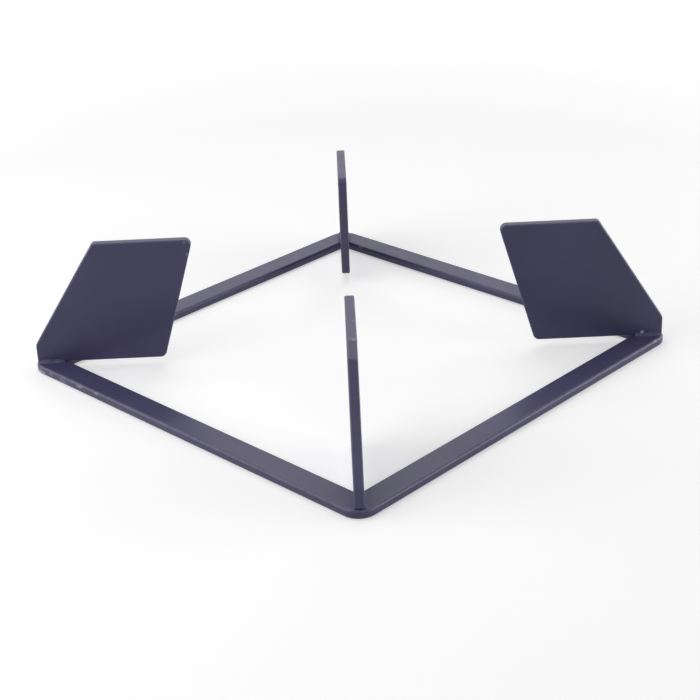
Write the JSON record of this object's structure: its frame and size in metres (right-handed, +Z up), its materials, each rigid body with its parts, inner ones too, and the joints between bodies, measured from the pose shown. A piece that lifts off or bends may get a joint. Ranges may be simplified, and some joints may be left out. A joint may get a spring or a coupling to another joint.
{
  "type": "pot stand",
  "caption": "Flat square steel ring with upright plate fins welded on its corners, leaning in over the opening to hold a pot above a gas burner.",
  "frame": {"origin": "middle of the ring's underside, on the surface the stand rests on", "axes": "+Z up; the ring's sides run along X and Y, so the fins stand on the diagonals; front is -Y and right is +X"},
  "size_m": [0.205, 0.205, 0.06],
  "materials": {
    "coated_plate": "satin dark violet-grey heat-proof coating on steel plate",
    "coated_weld": "the same coating over rippled weld beads"
  },
  "bodies": {
    "root": {"ring": "coated_plate", "fin_front_right": "coated_plate", "fin_rear_right": "coated_plate", "fin_rear_left": "coated_plate", "fin_front_left": "coated_plate", "weld_front_right": "coated_weld", "weld_rear_right": "coated_weld", "weld_rear_left": "coated_weld", "weld_front_left": "coated_weld"}
  },
  "joints": []
}
